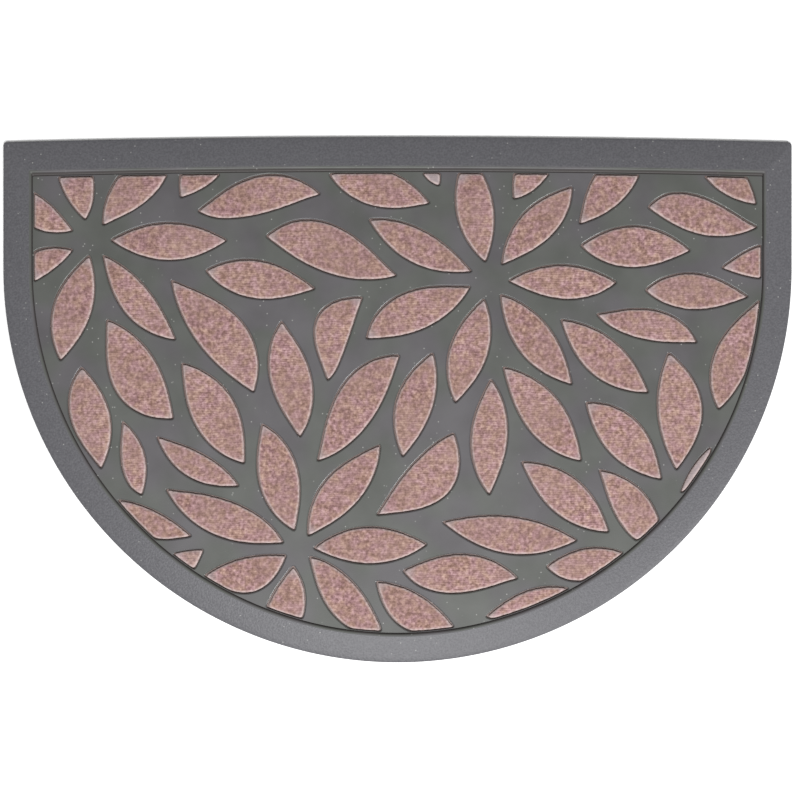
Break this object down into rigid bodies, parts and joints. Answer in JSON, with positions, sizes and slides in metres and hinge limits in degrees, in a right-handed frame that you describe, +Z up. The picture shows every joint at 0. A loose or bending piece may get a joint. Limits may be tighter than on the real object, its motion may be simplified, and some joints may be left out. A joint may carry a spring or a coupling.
{
  "type": "doormat",
  "caption": "Half-round doormat: a low grey rubber tray with a sloping border and petal-shaped carpet inlays scattered as open flowers.",
  "frame": {"origin": "middle of the mat's bounding box, on the floor it lies on", "axes": "+X along the mat's width, +Y towards its straight back edge, +Z up out of the floor"},
  "size_m": [0.6, 0.4, 0.0065],
  "materials": {
    "rubber": "matt moulded rubber, grained border",
    "pile": "needle-punched pile, heathered pink-brown"
  },
  "bodies": {
    "root": {"front_flower_01": "pile", "front_flower_02": "pile", "front_flower_03": "pile", "front_flower_04": "pile", "front_flower_05": "pile", "front_flower_06": "pile", "front_flower_07": "pile", "leaf_01": "pile", "leaf_02": "pile", "leaf_03": "pile", "leaf_04": "pile", "leaf_05": "pile", "leaf_06": "pile", "leaf_07": "pile", "leaf_08": "pile", "leaf_09": "pile", "leaf_10": "pile", "leaf_11": "pile", "leaf_12": "pile", "leaf_13": "pile", "leaf_14": "pile", "leaf_15": "pile", "leaf_16": "pile", "leaf_17": "pile", "leaf_18": "pile", "leaf_19": "pile", "leaf_20": "pile", "leaf_21": "pile", "leaf_22": "pile", "leaf_23": "pile", "leaf_24": "pile", "leaf_25": "pile", "leaf_26": "pile", "leaf_27": "pile", "leaf_28": "pile", "leaf_29": "pile", "leaf_30": "pile", "leaf_31": "pile", "leaf_32": "pile", "leaf_33": "pile", "leaf_34": "pile", "leaf_35": "pile", "leaf_36": "pile", "leaf_37": "pile", "leaf_38": "pile", "left_flower_01": "pile", "left_flower_02": "pile", "left_flower_03": "pile", "left_flower_04": "pile", "left_flower_05": "pile", "left_flower_06": "pile", "left_flower_07": "pile", "right_flower_01": "pile", "right_flower_02": "pile", "right_flower_03": "pile", "right_flower_04": "pile", "right_flower_05": "pile", "right_flower_06": "pile", "right_flower_07": "pile", "rubber_mat": "rubber"}
  },
  "joints": []
}
